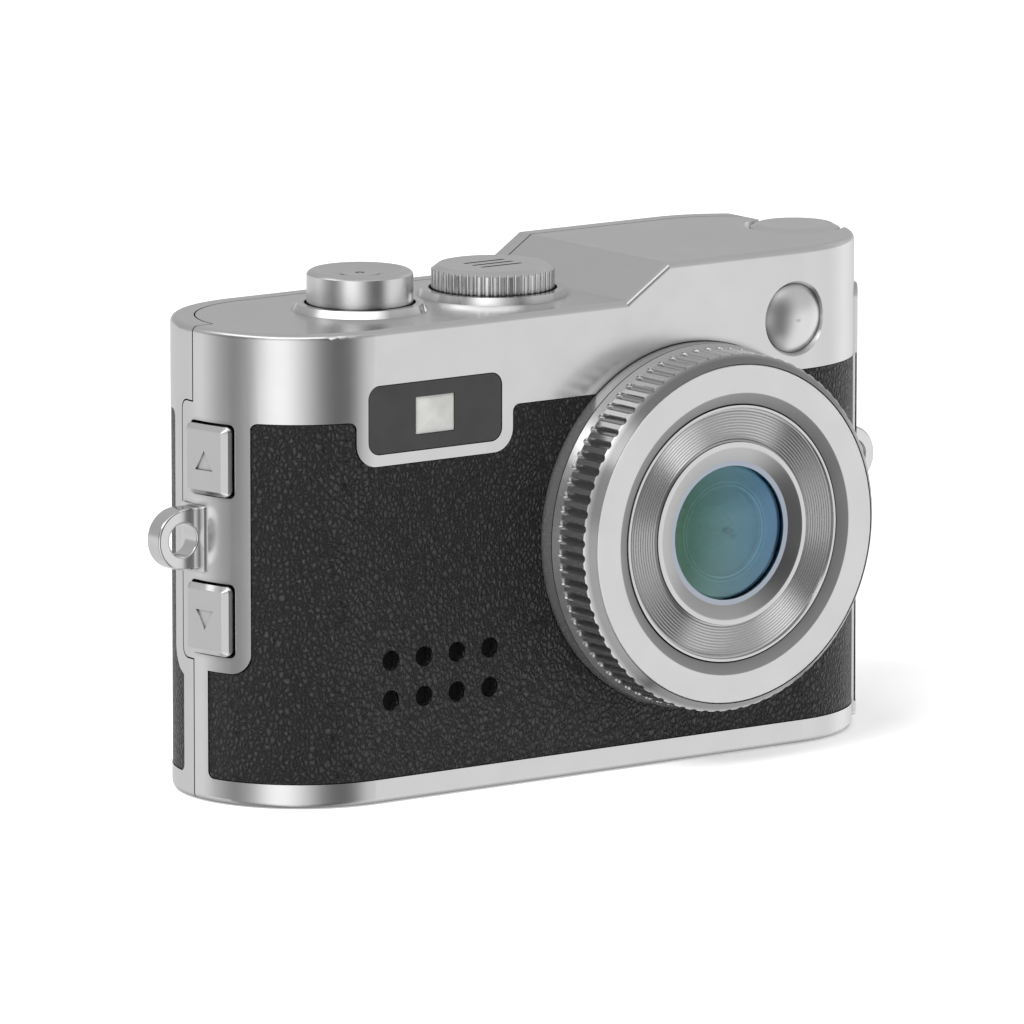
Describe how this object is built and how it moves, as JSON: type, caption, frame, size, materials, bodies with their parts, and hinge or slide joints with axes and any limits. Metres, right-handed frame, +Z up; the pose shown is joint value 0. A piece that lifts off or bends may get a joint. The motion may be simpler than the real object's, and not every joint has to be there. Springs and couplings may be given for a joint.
{
  "type": "rangefinder camera",
  "caption": "Compact retro digital camera with a leather-covered metal body, fluted lens ring, top dials, shutter button, side keys, strap lugs and a hinged battery door.",
  "frame": {"origin": "centre of the tripod socket's mouth in the base, straight below the lens axis and midway through the body's thickness", "axes": "+Z up, -Y towards the subject along the lens axis, +X towards the thumb dial's end"},
  "size_m": [0.1142, 0.0434, 0.0661],
  "materials": {
    "satin_silver": "satin silver paint over metal",
    "pale_silver": "fine bead-blasted, pale",
    "turned_silver": "turned with fine concentric grooves",
    "polished_silver": "satin chrome",
    "mirror_chrome": "polished dome",
    "black_leather": "pebbled black leatherette",
    "dark_acrylic": "smoked, flat",
    "diffuser": "frosted and faceted",
    "black_plastic": "fine spark texture",
    "black_metal": "black anodised",
    "coated_glass": "multi-coated",
    "screen_glass": "hard-coated, glossy",
    "sensor": "glass-covered chip",
    "circuit_board": "solder mask",
    "battery_wrap": "shrink wrap",
    "steel": "plated"
  },
  "bodies": {
    "camera_body": {"aperture_plate": "black_metal", "battery": "battery_wrap", "battery_bay": "black_plastic", "case_screws": "steel", "dress_ring": "turned_silver", "end_cover": "satin_silver", "end_leather": "black_leather", "flash_diffuser": "diffuser", "flash_module": "black_plastic", "flash_window": "dark_acrylic", "front_glass": "coated_glass", "front_leather": "black_leather", "front_shell": "satin_silver", "glass_retainer": "polished_silver", "hinge_pin": "steel", "image_sensor": "sensor", "inner_glass": "coated_glass", "inner_lens_ring": "black_metal", "key_board": "circuit_board", "lens_barrel": "black_metal", "lens_boss": "satin_silver", "lens_plate": "pale_silver", "lug_clips": "steel", "main_board": "circuit_board", "mode_dial_collar": "polished_silver", "mode_encoder": "black_plastic", "rear_glass": "coated_glass", "rear_leather": "black_leather", "rear_shell": "satin_silver", "screen_module": "black_plastic", "screen_window": "screen_glass", "selfie_mirror": "mirror_chrome", "sensor_board": "circuit_board", "shutter_collar": "polished_silver", "shutter_spring": "steel", "shutter_switch": "black_plastic", "side_switch_board": "circuit_board", "speaker": "black_plastic", "strap_lug_left": "polished_silver", "strap_lug_right": "polished_silver", "thumb_encoder": "black_plastic", "tripod_socket": "steel"},
    "shutter": {"shutter_button": "satin_silver"},
    "mode_dial": {"mode_dial": "satin_silver"},
    "thumb_dial": {"thumb_dial": "satin_silver"},
    "control_ring": {"control_ring": "satin_silver"},
    "side_key_up": {"side_key_up": "satin_silver"},
    "side_key_down": {"side_key_down": "satin_silver"},
    "nav_ring": {"nav_ring": "satin_silver"},
    "ok_key": {"ok_key": "satin_silver"},
    "menu_key": {"menu_key": "satin_silver"},
    "play_key": {"play_key": "satin_silver"},
    "battery_door": {"battery_door": "satin_silver"}
  },
  "joints": [
    {"name": "shutter_press", "type": "slide", "parent": "camera_body", "child": "shutter", "axis": [0, 0, -1], "range_m": [0, 0.0012], "stiffness_N_per_m": 800, "springref_m": -0.0002, "deforming": ["shutter_spring"]},
    {"name": "side_key_up_press", "type": "slide", "parent": "camera_body", "child": "side_key_up", "axis": [0.9806, 0.1959, 0], "range_m": [0, 0.0005], "stiffness_N_per_m": 1200, "springref_m": -0.0002},
    {"name": "side_key_down_press", "type": "slide", "parent": "camera_body", "child": "side_key_down", "axis": [0.9806, 0.1959, 0], "range_m": [0, 0.0005], "stiffness_N_per_m": 1200, "springref_m": -0.0002},
    {"name": "nav_ring_press", "type": "slide", "parent": "camera_body", "child": "nav_ring", "axis": [0, -1, 0], "range_m": [0, 0.0004], "stiffness_N_per_m": 1200, "springref_m": -0.0002},
    {"name": "ok_key_press", "type": "slide", "parent": "camera_body", "child": "ok_key", "axis": [0, -1, 0], "range_m": [0, 0.0004], "stiffness_N_per_m": 1200, "springref_m": -0.0002},
    {"name": "menu_key_press", "type": "slide", "parent": "camera_body", "child": "menu_key", "axis": [0, -1, 0], "range_m": [0, 0.0004], "stiffness_N_per_m": 1200, "springref_m": -0.0002},
    {"name": "play_key_press", "type": "slide", "parent": "camera_body", "child": "play_key", "axis": [0, -1, 0], "range_m": [0, 0.0004], "stiffness_N_per_m": 1200, "springref_m": -0.0002},
    {"name": "mode_dial_turn", "type": "hinge", "parent": "camera_body", "child": "mode_dial", "pos_m": [-0.0204, -0.00137, 0.0609], "axis": [0, 0, 1], "continuous": true},
    {"name": "thumb_dial_turn", "type": "hinge", "parent": "camera_body", "child": "thumb_dial", "pos_m": [0.0289, -0.0006, 0.0625], "axis": [0, 0, 1], "continuous": true},
    {"name": "control_ring_turn", "type": "hinge", "parent": "camera_body", "child": "control_ring", "pos_m": [0, -0.0165, 0.031], "axis": [0, -1, 0], "continuous": true},
    {"name": "battery_door_hinge", "type": "hinge", "parent": "camera_body", "child": "battery_door", "pos_m": [-0.039, 0.0039, 0.00125], "axis": [1, 0, 0], "range_deg": [0, 95]}
  ]
}
